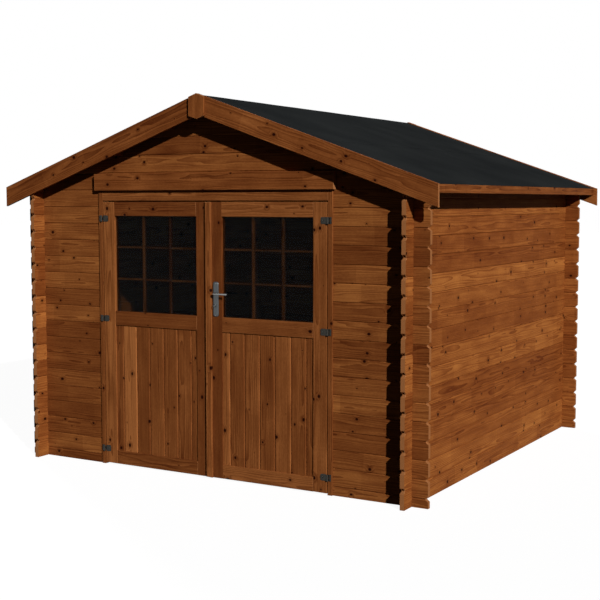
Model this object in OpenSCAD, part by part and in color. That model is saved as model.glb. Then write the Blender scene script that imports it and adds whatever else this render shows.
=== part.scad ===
// Wooden garden house of interlocking logs, with a felted gable roof and
// a glazed double door in its front wall.
//
// Frame of the part: the origin is the centre of the plan at ground level,
// X runs along the front wall, Y from the front to the back and Z upwards.
// All sizes are in millimetres. "s" is the side that a piece belongs to:
// -1 is the left half and 1 the right half, or -1 the front and 1 the back.

/* [Log walls] */
// Width over the outer faces of the side walls
house_w = 2880; // [2600:10:3600]
// Depth over the outer faces of the front and back walls
house_d = 2880; // [2000:10:4200]
// Thickness of a log
log_t = 28; // [22:1:44]
// Height that one course of logs covers
log_h = 114; // [100:1:130]
// Height of the top log of a side wall, at its outer face
top_log_h = 128; // [100:1:150]
// Length of a log past the wall that it crosses
log_end = 105; // [60:1:190]
// Corner cut off each log end
end_cut = 17; // [8:1:30]
// Chamfer along the edges of each log
log_chamfer = 5; // [2:0.5:8]
// Play at the sides of a corner notch
notch_play = 0.5; // [0.2:0.1:1]

/* [Roof] */
// Slope of the roof in degrees
roof_pitch = 19.3; // [14:0.1:26]
// Overhang of the roof past the side walls
eave_over = 180; // [150:1:300]
// Overhang of the roof past the front and back walls
gable_over = 125; // [80:1:300]
// Thickness of the roof boards
roof_board_t = 15; // [14:1:25]
// Thickness of one layer of roofing felt
felt_t = 3; // [2:0.5:5]
// Width of the upper felt strip, from the ridge down the slope
felt_upper_w = 916; // [600:1:1200]
// Overlap of the upper felt strip on the lower one
felt_lap = 90; // [50:1:150]
// Width of a barge board
barge_w = 126; // [90:1:160]
// Thickness of a barge board
barge_t = 19; // [18:1:40]
// Height of a barge board above the felt
barge_lip = 6; // [0:0.5:15]
// Reach of a barge board past the eaves board
barge_over = 27; // [0:1:60]
// Height of an eaves board
eaves_board_h = 51; // [40:1:90]
// Thickness of an eaves board
eaves_board_t = 20; // [15:1:30]
// Width of the plate that covers the apex joint
apex_w = 120; // [90:1:200]
// Length of the sides of the apex plate
apex_side_h = 120; // [80:1:180]
// Drop of the apex plate's lower point
apex_point = 20; // [0:1:50]
// Thickness of the apex plate
apex_t = 19; // [15:1:40]
// Width of the ridge beam and the purlins
purlin_w = 44; // [35:1:70]
// Height of the ridge beam and the purlins
purlin_h = 95; // [80:1:130]
// Distance of a purlin from the middle of the house
purlin_x = 720; // [400:10:1000]
// Play round a purlin in its pocket
pocket_play = 1; // [0.5:0.5:3]

/* [Door frame] */
// Clear width between the jambs
door_w = 1750; // [1500:10:1900]
// Clear height under the head of the frame
door_h = 1810; // [1600:5:2100]
// Width of a jamb's face
jamb_face = 32; // [30:1:60]
// Height of the frame head
head_h = 67; // [50:1:68]
// Frame in front of the wall's outer face
frame_proud = 11; // [8:1:40]
// Depth of the frame behind the wall's inner face
frame_back = 24; // [15:1:60]
// Depth that the logs reach into a jamb
jamb_groove = 18; // [8:1:20]
// Play of the logs in a jamb's groove
groove_play = 1; // [0.5:0.5:3]
// Gap for settling between the frame and the log above it
settle_gap = 4; // [2:1:25]
// Width of the rebate that a leaf closes against
rebate = 20; // [10:1:30]
// Gap between a leaf's back and its rebate
rebate_gap = 5.5; // [5:0.5:12]
// Height of the sill
sill_h = 50; // [30:1:80]
// Height of the header board over the door
header_h = 112; // [60:1:120]
// Thickness of the header board
header_t = 35; // [25:1:60]
// Reach of the header board past each jamb
header_over = 20; // [0:1:60]

/* [Door leaves] */
// Thickness of a leaf's frame
leaf_t = 40; // [34:1:50]
// Gap between a leaf and its jamb or the head
leaf_gap = 6; // [5:0.5:8]
// Gap under a leaf
leaf_foot = 10; // [6:1:30]
// Gap between the two leaves
meeting_gap = 6.5; // [6:0.5:10]
// Bevel at the back of the meeting edges
meeting_bevel = 4; // [3:0.5:8]
// Width of a leaf's hinge stile
hinge_stile_w = 96; // [80:1:130]
// Distance of the meeting stiles' inner edges from the middle
meeting_stile_x = 99; // [85:1:130]
// Height of a leaf's top rail
top_rail_h = 95; // [70:1:130]
// Height of a leaf's middle rail
mid_rail_h = 96; // [70:1:150]
// Height of a leaf's bottom rail
bottom_rail_h = 92; // [70:1:150]
// Height of the middle rail's lower edge above the ground
mid_rail_z = 967; // [700:1:1200]
// Thickness of the glass
glass_t = 4; // [3:1:8]
// Thickness of the panel boards
panel_t = 14; // [10:1:20]
// Depth of the panel behind the leaf's face
panel_set = 8; // [5:1:15]
// Depth that glass and panel reach into the leaf's frame
leaf_groove = 10; // [6:1:15]
// Width of the cover strip over the meeting edges
cover_w = 46; // [35:1:70]
// Distance of the cover strip's middle from the middle of the door
cover_x = 3; // [-6:1:6]
// Thickness of the cover strip
cover_t = 16; // [10:1:22]

/* [Hinges and lock] */
// Height of a hinge
hinge_h = 42; // [36:1:90]
// Thickness of a hinge plate
hinge_plate_t = 3; // [2:0.5:4]
// Reach of a hinge plate onto the leaf
hinge_reach = 52; // [35:1:75]
// Diameter of a hinge barrel
barrel_d = 14; // [12:0.5:18]
// Diameter of a hinge pin
hinge_pin_d = 7; // [5:0.5:8]
// Height of the lower hinges above the leaf's foot
hinge_low_up = 100; // [80:1:250]
// Height of the middle hinges above the middle rail's lower edge
hinge_mid_up = 43; // [30:1:80]
// Depth of the upper hinges below the leaf's top
hinge_high_down = 113; // [90:1:250]
// Height of a lock plate
lock_plate_h = 232; // [180:1:260]
// Width of a lock plate
lock_plate_w = 44; // [30:1:46]
// Thickness of a lock plate
lock_plate_t = 8; // [2:0.5:12]
// Distance of the lock plate's middle from the middle of the door
lock_x = 54; // [50:1:70]
// Height of the lever's axis above the ground
lever_z = 1215; // [1100:1:1300]
// Height of the keyhole above the ground
key_z = 1137; // [1050:1:1150]
// Length of the lever
lever_l = 105; // [90:1:140]
// Diameter of the lever's grip
lever_d = 13; // [10:1:20]
// Distance of the grip's axis from the leaf
lever_out = 42; // [28:1:60]
// Diameter of the lever's spindle
spindle_d = 11; // [8:1:16]

/* [Floor] */
// Height of a floor bearer
bearer_h = 28; // [20:1:60]
// Width of a floor bearer
bearer_w = 60; // [40:1:80]
// Number of floor bearers
bearer_n = 5; // [3:1:7]
// Thickness of the floor boards
floor_board_t = 18; // [14:1:28]
// Gap between the floor and the walls
floor_gap = 5; // [2:1:15]

/* [Hidden] */
$fn = 48;
eps = 1;            // how far a cutting tool stands out of what it cuts

// Walls
half_w = house_w / 2;
half_d = house_d / 2;
log_len_w = house_w + 2 * log_end;
log_len_d = house_d + 2 * log_end;
least_course = log_h / 4;          // a lower strip of log is part of the next one
// Whole courses under the top log of a side wall: the walls are as high as
// the doorway needs, with a log joint of the gable just over it.
side_courses = ceil((door_h + head_h + settle_gap - eps) / log_h - 0.5);
side_top = side_courses * log_h + top_log_h;

// Roof: heights of its surfaces over the distance x from the middle
slope = tan(roof_pitch);
steep = 1 / cos(roof_pitch);       // vertical thickness of a sloping layer
lay_gap = 0.1;                     // under each sloping layer
eave_x = half_w + eave_over;
verge_y = half_d + gable_over;
roof_end_y = verge_y - barge_t;    // the boards end at the barge boards
function under_z(x) = side_top + (half_w - abs(x)) * slope;
function over_z(x, h) = under_z(x) + h * steep;
board_top = lay_gap + roof_board_t;
felt_base = board_top + lay_gap;
felt_top = felt_base + felt_t;
function barge_z(x) = over_z(x, felt_top + barge_lip);
felt_lap_x = felt_upper_w / steep;
felt_low_x = felt_lap_x - felt_lap / steep;

// Door frame
frame_x = door_w / 2 + jamb_face;
frame_top = door_h + head_h;
frame_y = -half_d - frame_proud;                // face of the frame and the leaves
frame_back_y = -half_d + log_t + frame_back;
wall_gap_x = frame_x - jamb_groove + groove_play;
wall_gap_z = frame_top + settle_gap;
rebate_y = frame_y + leaf_t + rebate_gap;

// Door leaves
leaf_x = door_w / 2 - leaf_gap;
leaf_top = door_h - leaf_gap - 1;
light_x0 = meeting_stile_x;
light_x1 = leaf_x - hinge_stile_w;
light_z0 = mid_rail_z + mid_rail_h;
light_z1 = leaf_top - top_rail_h;
panel_z0 = leaf_foot + bottom_rail_h;
panel_z1 = mid_rail_z;
glass_y = frame_y + leaf_t / 2;
edge_right = cover_x - cover_w / 2;                      // meeting edge of the right leaf
edge_left = meeting_gap - edge_right;           // of the left leaf, on its own side

// Hinges
pin_x = door_w / 2 + 4;
pin_y = frame_y - barrel_d / 2;
hinge_fit = 0.08;                               // radial play of a pin in its barrel
knuckle_gap = 0.5;
hinge_zs = [leaf_foot + hinge_low_up, mid_rail_z + hinge_mid_up, leaf_top - hinge_high_down];
jamb_plate_reach = frame_x - pin_x - 6;

// Lock
leaf_back_y = frame_y + leaf_t;
spindle_fit = 0.08;                             // radial play in the rose
spindle_hole_play = 2;
rose_t = lock_plate_t + 4;
rose_d = spindle_d + 12;
key_bow_d = 24;

// Floor
floor_x = half_w - log_t - floor_gap;
floor_y0 = frame_back_y + floor_gap;
floor_y1 = half_d - log_t - floor_gap;

WOOD = "#7a4a26";
WOOD_DARK = "#6b3f20";
WOOD_LIGHT = "#8a5830";
INSIDE = "#a9835a";
FELT = "#2b2f2f";
METAL = "#4a4d4f";
STEEL = "#b4b6b8";

// ---------------------------------------------------------------- helpers

// A flat outline in X and Z, stretched along Y from y0 to y1.
module along_y(y0, y1) {
    translate([0, y1, 0]) rotate([90, 0, 0]) linear_extrude(y1 - y0) children();
}

// A flat outline in Y and Z, stretched along X from x0 to x1.
module along_x(x0, x1) {
    translate([x0, 0, 0]) rotate([90, 0, 90]) linear_extrude(x1 - x0) children();
}

// A box given by its lowest and highest corners.
module box(low, high) {
    translate(low) cube(high - low);
}

module mirror_if(s) {
    if (s < 0) mirror([1, 0, 0]) children();
    else children();
}

module front_or_back(s) {
    if (s > 0) mirror([0, 1, 0]) children();
    else children();
}

// ---------------------------------------------------------------- walls

// One toothed edge of a stack of logs at x, going up the joint heights zs.
// "out" is 1 where the ends point to +X and -1 where they point to -X.
function toothed_edge(x, out, zs) = [
    for (i = [0 : len(zs) - 2]) each [
        [x - out * (i == 0 ? 0 : end_cut), zs[i]],
        if (i > 0) [x, zs[i] + end_cut],
        [x, zs[i + 1] - end_cut]
    ],
    [x - out * end_cut, zs[len(zs) - 1]]
];

function straight_edge(x, zs) = [[x, zs[0]], [x, zs[len(zs) - 1]]];

function reversed(list) = [for (i = [len(list) - 1 : -1 : 0]) list[i]];

// Joint heights of the side walls, whose lowest log is a whole one, and of
// the front and back walls, whose lowest log is a half one.
side_joints = [for (k = [0 : side_courses]) k * log_h];
function gable_joints(z0, z1) = concat(
    [z0],
    [for (k = [0 : ceil(z1 / log_h)]) let (z = (k + 0.5) * log_h)
        if (z > z0 + least_course && z < z1 - least_course) z],
    [z1]
);

// V grooves along both faces of a wall at its joints, for a wall along X
// whose outer face is at y = 0 and whose inner face is at y = log_t.
module joint_grooves(x0, x1, joints) {
    for (z = joints, y = [0, log_t])
        translate([x0 - eps, y, z])
            rotate([45, 0, 0])
                translate([0, -log_chamfer / sqrt(2), -log_chamfer / sqrt(2)])
                    cube([x1 - x0 + 2 * eps, log_chamfer * sqrt(2), log_chamfer * sqrt(2)]);
}

// The notches that a wall along X has at a crossing wall, whose outer face
// is at x. A crossing log keeps the middle half of its own height.
module notches(x, first, count) {
    x0 = min(x, x - sign(x) * log_t) - notch_play;
    for (k = [0 : count - 1])
        box([x0, -eps, (first + k - 0.25) * log_h],
            [x0 + log_t + 2 * notch_play, log_t + eps, (first + k + 0.25) * log_h]);
}

// A wall along X with its outer face at y = 0, from the outline's edges.
module log_stack(edge_0, edge_1, joints, x0, x1) {
    difference() {
        along_y(0, log_t) polygon(concat(edge_1, reversed(edge_0)));
        joint_grooves(x0, x1, [for (i = [1 : len(joints) - 2]) joints[i]]);
    }
}

// All that stands above the underside of the roof boards.
module above_roof(y0, y1) {
    high = under_z(0) + 2 * log_h;
    reach = half_w + log_end + 2 * eps;
    along_y(y0, y1)
        polygon([[0, under_z(0)], [reach, under_z(reach)], [reach, high],
                 [-reach, high], [-reach, under_z(reach)]]);
}

// Pockets for the ridge beam and the purlins.
module purlin_pockets() {
    for (x = [-purlin_x, 0, purlin_x])
        box([x - purlin_w / 2 - pocket_play, -eps, under_z(x) - purlin_h],
            [x + purlin_w / 2 + pocket_play, log_t + eps, under_z(x) + purlin_h]);
}

// A whole gable wall between two heights, its outer face at y = 0.
module gable_wall(z0, z1) {
    joints = gable_joints(z0, z1);
    half_len = log_len_w / 2;
    difference() {
        log_stack(toothed_edge(-half_len, -1, joints), toothed_edge(half_len, 1, joints),
                  joints, -half_len, half_len);
        for (x = [-half_w, half_w]) notches(x, 0.5, side_courses + 1);
        above_roof(-eps, log_t + eps);
        purlin_pockets();
    }
}

module front_wall(s) {
    color(s < 0 ? WOOD : WOOD_LIGHT)
        mirror_if(s)
            translate([0, -half_d, 0]) {
                joints = gable_joints(0, wall_gap_z);
                half_len = log_len_w / 2;
                difference() {
                    log_stack(straight_edge(wall_gap_x, joints),
                              toothed_edge(half_len, 1, joints),
                              joints, wall_gap_x, half_len);
                    notches(half_w, 0.5, side_courses + 1);
                }
            }
}

module front_gable() {
    color(WOOD)
        translate([0, -half_d, 0]) gable_wall(wall_gap_z, under_z(0));
}

module back_wall() {
    color(WOOD_DARK)
        translate([0, half_d, 0]) mirror([0, 1, 0]) gable_wall(0, under_z(0));
}

// A side wall: a log stack along Y. Its top log is cut to the roof's slope
// and ends behind the barge boards.
module side_wall(s) {
    joints = concat(side_joints, [side_top + log_t * slope]);
    half_len = log_len_d / 2;
    end_y = roof_end_y - pocket_play;
    color(WOOD_LIGHT)
        mirror_if(s)
            translate([half_w, 0, 0]) rotate([0, 0, 90])
                difference() {
                    log_stack(toothed_edge(-half_len, -1, joints),
                              toothed_edge(half_len, 1, joints),
                              joints, -half_len, half_len);
                    for (y = [-half_d, half_d]) notches(y, 0, side_courses + 2);
                    if (end_y < half_len)
                        for (end = [-1, 1])
                            translate([end * (end_y + half_len), 0, (side_courses + 1) * log_h])
                                cube([2 * half_len, 3 * log_t, 2 * log_h], center = true);
                    along_x(-half_len - eps, half_len + eps)
                        polygon([[-eps, side_top - eps * slope],
                                 [log_t + eps, side_top + (log_t + eps) * slope],
                                 [log_t + eps, side_top + log_h],
                                 [-eps, side_top + log_h]]);
                }
}

// ---------------------------------------------------------------- roof

module ridge_beam() {
    side_z = under_z(purlin_w / 2);
    color(INSIDE)
        along_y(-roof_end_y, roof_end_y)
            polygon([[-purlin_w / 2, under_z(0) - purlin_h], [purlin_w / 2, under_z(0) - purlin_h],
                     [purlin_w / 2, side_z], [0, under_z(0)], [-purlin_w / 2, side_z]]);
}

module purlin(s) {
    x0 = purlin_x - purlin_w / 2;
    x1 = purlin_x + purlin_w / 2;
    base = under_z(purlin_x) - purlin_h;
    color(INSIDE)
        mirror_if(s)
            along_y(-roof_end_y, roof_end_y)
                polygon([[x0, base], [x1, base], [x1, under_z(x1)], [x0, under_z(x0)]]);
}

module roof_boards(s) {
    x = eave_x - eaves_board_t;
    color(INSIDE)
        mirror_if(s)
            along_y(-roof_end_y, roof_end_y)
                polygon([[0, over_z(0, lay_gap)], [x, over_z(x, lay_gap)],
                         [x, over_z(x, board_top)], [0, over_z(0, board_top)]]);
}

// Two strips of felt: the upper one lies on the edge of the lower one.
module roof_felt(s) {
    flat_x = felt_low_x - felt_lap / 4;
    color(FELT)
        mirror_if(s)
            along_y(-roof_end_y, roof_end_y)
                polygon([
                    [0, over_z(0, felt_base)], [eave_x, over_z(eave_x, felt_base)],
                    [eave_x, over_z(eave_x, felt_top)],
                    [felt_lap_x, over_z(felt_lap_x, felt_top)],
                    [felt_lap_x, over_z(felt_lap_x, felt_top + felt_t)],
                    [felt_low_x, over_z(felt_low_x, felt_top + felt_t)],
                    [flat_x, over_z(flat_x, felt_top)], [0, over_z(0, felt_top)]
                ]);
}

module barge_board(s, end) {
    drop = barge_w * steep;
    end_x = eave_x + barge_over;
    color(WOOD_LIGHT)
        mirror_if(s) front_or_back(end)
            along_y(-verge_y, -roof_end_y)
                polygon([[0, barge_z(0)], [end_x, barge_z(end_x)],
                         [end_x, barge_z(end_x) - drop], [0, barge_z(0) - drop]]);
}

module apex_plate(end) {
    x = apex_w / 2;
    shoulder = barge_z(x);
    foot = shoulder - apex_side_h;
    color(WOOD_LIGHT)
        front_or_back(end)
            along_y(-verge_y - apex_t, -verge_y)
                polygon([[-x, foot], [0, foot - apex_point], [x, foot],
                         [x, shoulder], [0, barge_z(0)], [-x, shoulder]]);
}

module eaves_board(s) {
    x0 = eave_x - eaves_board_t;
    foot = over_z(eave_x, board_top) - eaves_board_h;
    color(WOOD)
        mirror_if(s)
            along_y(-roof_end_y, roof_end_y)
                polygon([[x0, over_z(x0, board_top)], [x0, foot], [eave_x, foot],
                         [eave_x, over_z(eave_x, board_top)]]);
}

// ---------------------------------------------------------------- floor

module floor_bearers() {
    span = floor_y1 - floor_y0 - bearer_w;
    color(INSIDE)
        for (i = [0 : bearer_n - 1])
            translate([-floor_x, floor_y0 + i * span / (bearer_n - 1), 0])
                cube([2 * floor_x, bearer_w, bearer_h]);
}

module floor_boards() {
    color(INSIDE)
        box([-floor_x, floor_y0, bearer_h], [floor_x, floor_y1, bearer_h + floor_board_t]);
}

// ---------------------------------------------------------------- door frame

// A jamb clasps the cut ends of the logs with its groove, and its inner
// side has the rebate that the leaf closes against.
module door_jamb(s) {
    x0 = door_w / 2;
    groove_x = frame_x - jamb_groove;
    color(WOOD_LIGHT)
        mirror_if(s)
            linear_extrude(frame_top)
                polygon([
                    [x0, frame_y], [frame_x, frame_y],
                    [frame_x, -half_d - groove_play / 2], [groove_x, -half_d - groove_play / 2],
                    [groove_x, -half_d + log_t + groove_play / 2],
                    [frame_x, -half_d + log_t + groove_play / 2],
                    [frame_x, frame_back_y], [x0 - rebate, frame_back_y],
                    [x0 - rebate, rebate_y], [x0, rebate_y]
                ]);
}

module door_frame_head() {
    x = door_w / 2;
    color(WOOD_LIGHT) {
        box([-x, frame_y, door_h], [x, rebate_y, frame_top]);
        box([rebate - x, rebate_y, door_h - rebate], [x - rebate, frame_back_y, frame_top]);
    }
}

module door_sill() {
    x = door_w / 2 - rebate;
    color(WOOD_LIGHT) box([-x, rebate_y, 0], [x, frame_back_y, sill_h]);
}

module door_header() {
    x = frame_x + header_over;
    color(WOOD)
        box([-x, -half_d - header_t, frame_top], [x, -half_d, frame_top + header_h]);
}

// ---------------------------------------------------------------- leaves

// What fills a light or a panel of a leaf, with its edges in the grooves.
module infill(y0, t, z0, z1) {
    box([light_x0 - leaf_groove, y0, z0 - leaf_groove],
        [light_x1 + leaf_groove, y0 + t, z1 + leaf_groove]);
}

module glass_infill() {
    infill(glass_y - glass_t / 2, glass_t, light_z0, light_z1);
}

module panel_infill() {
    infill(frame_y + panel_set, panel_t, panel_z0, panel_z1);
}

// A leaf's stiles and rails. Its meeting edge is at x = edge on its own side.
module leaf_frame(s, edge) {
    color(WOOD_LIGHT)
        mirror_if(s)
            difference() {
                translate([0, 0, leaf_foot])
                    linear_extrude(leaf_top - leaf_foot)
                        polygon([[edge, frame_y], [leaf_x, frame_y], [leaf_x, leaf_back_y],
                                 [edge + meeting_bevel, leaf_back_y]]);
                for (z = [[light_z0, light_z1], [panel_z0, panel_z1]])
                    box([light_x0, frame_y - eps, z[0]], [light_x1, leaf_back_y + eps, z[1]]);
                glass_infill();
                panel_infill();
                if (s > 0) spindle_hole();
            }
}

module leaf_panel(s) {
    color(WOOD) mirror_if(s) panel_infill();
}

module leaf_glass(s) {
    color("#202425") mirror_if(s) glass_infill();
}

module cover_strip() {
    color(WOOD_LIGHT)
        box([cover_x - cover_w / 2, frame_y - cover_t, leaf_foot],
            [cover_x + cover_w / 2, frame_y, leaf_top]);
}

// ---------------------------------------------------------------- hinges

// The leaf's half of a hinge: a plate and the middle knuckle, which has the
// bore that turns on the pin.
module leaf_hinges(s) {
    knuckle = hinge_h / 3;
    color(METAL)
        mirror_if(s)
            for (z = hinge_zs)
                translate([pin_x, pin_y, z])
                    difference() {
                        union() {
                            translate([0, 0, -knuckle / 2]) cylinder(d = barrel_d, h = knuckle);
                            box([-hinge_reach, barrel_d / 2 - hinge_plate_t, -knuckle / 2],
                                [0, barrel_d / 2, knuckle / 2]);
                            box([-hinge_reach, barrel_d / 2 - hinge_plate_t, -hinge_h / 2],
                                [-barrel_d / 2 - 1, barrel_d / 2, hinge_h / 2]);
                        }
                        translate([0, 0, -hinge_h]) cylinder(d = hinge_pin_d + 2 * hinge_fit,
                                                              h = 2 * hinge_h);
                    }
}

// The jamb's half: a plate, the upper and lower knuckles and the pin.
module jamb_hinges(s) {
    knuckle = hinge_h / 3 - knuckle_gap;
    color(METAL)
        mirror_if(s)
            for (z = hinge_zs)
                translate([pin_x, pin_y, z]) {
                    translate([0, 0, -hinge_h / 2]) cylinder(d = hinge_pin_d, h = hinge_h);
                    for (z0 = [-hinge_h / 2, hinge_h / 2 - knuckle])
                        translate([0, 0, z0]) {
                            cylinder(d = barrel_d, h = knuckle);
                            box([0, barrel_d / 2 - hinge_plate_t, 0],
                                [jamb_plate_reach, barrel_d / 2, knuckle]);
                        }
                    box([barrel_d / 2 + 1, barrel_d / 2 - hinge_plate_t, -hinge_h / 2],
                        [jamb_plate_reach, barrel_d / 2, hinge_h / 2]);
                }
}

// ---------------------------------------------------------------- lock

// The way of the spindle through the leaf's meeting stile.
module spindle_hole() {
    translate([lock_x, leaf_back_y + eps, lever_z])
        rotate([90, 0, 0]) cylinder(d = spindle_d + 2 * spindle_hole_play, h = leaf_t + 2 * eps);
}

// A lock plate with the round rose that the spindle turns in. "face" is the
// leaf's surface that it sits on, and "out" the way that surface looks.
module lock_plate(face, out) {
    plate_z = (lever_z + key_z) / 2;
    y0 = min(face, face + out * lock_plate_t);
    color(STEEL)
        difference() {
            union() {
                box([lock_x - lock_plate_w / 2, y0, plate_z - lock_plate_h / 2],
                    [lock_x + lock_plate_w / 2, y0 + lock_plate_t, plate_z + lock_plate_h / 2]);
                translate([lock_x, min(face, face + out * rose_t) + rose_t, lever_z])
                    rotate([90, 0, 0]) cylinder(d = rose_d, h = rose_t);
            }
            translate([lock_x, face + 2 * rose_t, lever_z])
                rotate([90, 0, 0]) cylinder(d = spindle_d + 2 * spindle_fit, h = 4 * rose_t);
        }
}

// A lever: its half of the spindle reaches to the middle of the leaf, and
// its grip points to +X.
module lever(face, out) {
    grip_y = face + out * lever_out;
    color(STEEL) {
        translate([lock_x, max(glass_y, grip_y), lever_z])
            rotate([90, 0, 0]) cylinder(d = spindle_d, h = abs(grip_y - glass_y));
        translate([lock_x, grip_y, lever_z]) sphere(d = lever_d);
        translate([lock_x, grip_y, lever_z]) rotate([0, 90, 0]) cylinder(d = lever_d, h = lever_l);
        translate([lock_x + lever_l, grip_y, lever_z]) sphere(d = lever_d);
    }
}

// The key: a round shank in the keyhole and a flat round bow.
module door_key() {
    face = frame_y - lock_plate_t;
    color(STEEL) {
        translate([lock_x, face, key_z]) rotate([90, 0, 0]) cylinder(d = 6, h = 20);
        translate([lock_x, face - 16, key_z])
            rotate([0, 90, 0]) translate([0, 0, -1.5]) cylinder(d = key_bow_d, h = 3);
    }
}

// ---------------------------------------------------------------- nodes

side_wall(-1);  // side_wall_left
side_wall(1);  // side_wall_right
front_wall(-1);  // front_wall_left
front_wall(1);  // front_wall_right
front_gable();
back_wall();
ridge_beam();
purlin(-1);  // purlin_left
purlin(1);  // purlin_right
roof_boards(-1);  // roof_boards_left
roof_boards(1);  // roof_boards_right
roof_felt(-1);  // roof_felt_left
roof_felt(1);  // roof_felt_right
barge_board(-1, -1);  // barge_front_left
barge_board(1, -1);  // barge_front_right
barge_board(-1, 1);  // barge_back_left
barge_board(1, 1);  // barge_back_right
apex_plate(-1);  // apex_plate_front
apex_plate(1);  // apex_plate_back
eaves_board(-1);  // eaves_board_left
eaves_board(1);  // eaves_board_right
floor_bearers();
floor_boards();
door_jamb(-1);  // door_jamb_left
door_jamb(1);  // door_jamb_right
door_frame_head();
door_sill();
door_header();
jamb_hinges(-1);  // jamb_hinges_left
jamb_hinges(1);  // jamb_hinges_right
leaf_frame(-1, edge_left);  // left_leaf_frame
leaf_panel(-1);  // left_leaf_panel
leaf_glass(-1);  // left_leaf_glass
leaf_hinges(-1);  // left_leaf_hinges
leaf_frame(1, edge_right);  // right_leaf_frame
leaf_panel(1);  // right_leaf_panel
leaf_glass(1);  // right_leaf_glass
leaf_hinges(1);  // right_leaf_hinges
cover_strip();
lock_plate(frame_y, -1);  // lock_plate_outer
lock_plate(leaf_back_y, 1);  // lock_plate_inner
door_key();
lever(frame_y, -1);  // lever_outer
lever(leaf_back_y, 1);  // lever_inner
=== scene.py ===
"""Wooden garden house: interlocking logs, felted gable roof, glazed double door.

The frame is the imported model's: the origin lies at ground level in the middle
of the plan, the front wall looks to -Y, and lengths are in metres.
"""

import bpy
import numpy as np
from mathutils import Matrix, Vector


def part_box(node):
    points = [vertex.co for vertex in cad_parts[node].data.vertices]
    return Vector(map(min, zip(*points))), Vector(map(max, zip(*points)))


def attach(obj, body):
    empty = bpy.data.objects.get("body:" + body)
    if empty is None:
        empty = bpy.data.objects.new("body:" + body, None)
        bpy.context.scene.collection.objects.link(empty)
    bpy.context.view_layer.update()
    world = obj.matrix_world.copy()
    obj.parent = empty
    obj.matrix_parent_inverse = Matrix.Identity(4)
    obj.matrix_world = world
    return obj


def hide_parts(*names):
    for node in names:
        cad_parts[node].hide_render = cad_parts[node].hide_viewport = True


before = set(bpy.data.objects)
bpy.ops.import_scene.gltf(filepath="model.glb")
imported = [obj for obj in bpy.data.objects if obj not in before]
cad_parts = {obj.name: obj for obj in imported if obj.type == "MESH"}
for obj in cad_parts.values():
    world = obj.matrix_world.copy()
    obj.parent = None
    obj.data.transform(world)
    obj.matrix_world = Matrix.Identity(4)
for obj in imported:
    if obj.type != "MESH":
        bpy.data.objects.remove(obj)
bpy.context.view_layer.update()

rng = np.random.default_rng(11)

# ---------------------------------------------------------------- log walls
# Planed pine logs, 28 mm thick, that cover 114 mm each. A tongue and a groove
# lock them to each other, and where two walls cross each log is notched to half
# of its height. Their ends stand 105 mm out and have their corners sawn off.
LOG_T, LOG_H = 0.028, 0.114
END_CUT, CHAMFER = 0.017, 0.005
TONGUE_W, TONGUE_H = 0.010, 0.008
GROOVE_W, GROOVE_H = 0.012, 0.011
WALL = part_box("side_wall_right")[1].x            # outer face of a side wall
LOG_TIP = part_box("front_wall_right")[1].x        # tip of a log of the front wall
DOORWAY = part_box("front_wall_right")[0].x        # where the logs end in the jamb
GABLE_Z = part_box("front_gable")[0].z             # foot of the logs over the door
SLOPE = np.tan(np.radians(19.3))
RIDGE_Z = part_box("ridge_beam")[1].z              # underside of the roof boards
PURLIN_X, PURLIN_W, PURLIN_H = 0.720, 0.044, 0.095
STEP = 0.0002                                    # length of a sudden change of section
COURSES, TOP_LOG_H = 16, 0.128                   # whole logs of a side wall, and its top one
NOTCH_PLAY, POCKET_PLAY = 0.0005, 0.001          # room beside a crossing log and a beam


def section_of_log(height, first, last):
    """Outline of a log in (height, depth). The lowest log of a wall has a flat
    foot, and the top log of a side wall is planed to the slope of the roof."""
    middle, g, w = LOG_T / 2, GROOVE_W / 2, TONGUE_W / 2
    foot = [(0, 0), (0, LOG_T)] if first else [
        (CHAMFER, 0), (0, CHAMFER), (0, middle - g), (GROOVE_H, middle - g),
        (GROOVE_H, middle + g), (0, middle + g), (0, LOG_T - CHAMFER), (CHAMFER, LOG_T)]
    head = [(height + LOG_T * SLOPE, LOG_T), (height, 0)] if last else [
        (height - CHAMFER, LOG_T), (height, LOG_T - CHAMFER), (height, middle + w),
        (height + TONGUE_H, middle + w), (height + TONGUE_H, middle - w),
        (height, middle - w), (height, CHAMFER), (height - CHAMFER, 0)]
    return np.array(foot + head, float)


def tree_place(width, depth):
    """Where a board lay in its tree: a random place along the trunk, and the
    pith 20 to 75 mm off the middle of its thickness."""
    side = rng.choice([-1.0, 1.0])
    return np.array([rng.uniform(0, 60), width * rng.uniform(-0.95, -0.05),
                     side * rng.uniform(0.020, 0.075) - depth / 2])


def join(rings, loop=False):
    """Closed outlines, an array of (outline, point, xyz), joined each to the next by
    four-sided faces. A face closes the first and the last, or a loop joins them. The
    faces are turned outwards if the volume, the sum of a . (b x c) / 6, is negative."""
    count, n, _ = rings.shape
    points = rings.reshape(-1, 3)
    index = np.arange(count * n).reshape(count, n)
    here, there = (index, np.roll(index, -1, 0)) if loop else (index[:-1], index[1:])
    quads = np.stack([here, there, np.roll(there, -1, 1), np.roll(here, -1, 1)], -1)
    quads = quads.reshape(-1, 4)
    caps = np.zeros((0, n), int) if loop else np.stack([index[0][::-1], index[-1]])
    fans = [np.stack([cap[[0] * (n - 2)], cap[1:-1], cap[2:]], -1) for cap in caps]
    tris = points[np.concatenate([quads[:, [0, 1, 2]], quads[:, [0, 2, 3]], *fans])]
    if np.einsum("ij,ij->i", tris[:, 0], np.cross(tris[:, 1], tris[:, 2])).sum() < 0:
        quads, caps = quads[:, ::-1], caps[:, ::-1]
    return points, quads, caps


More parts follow.
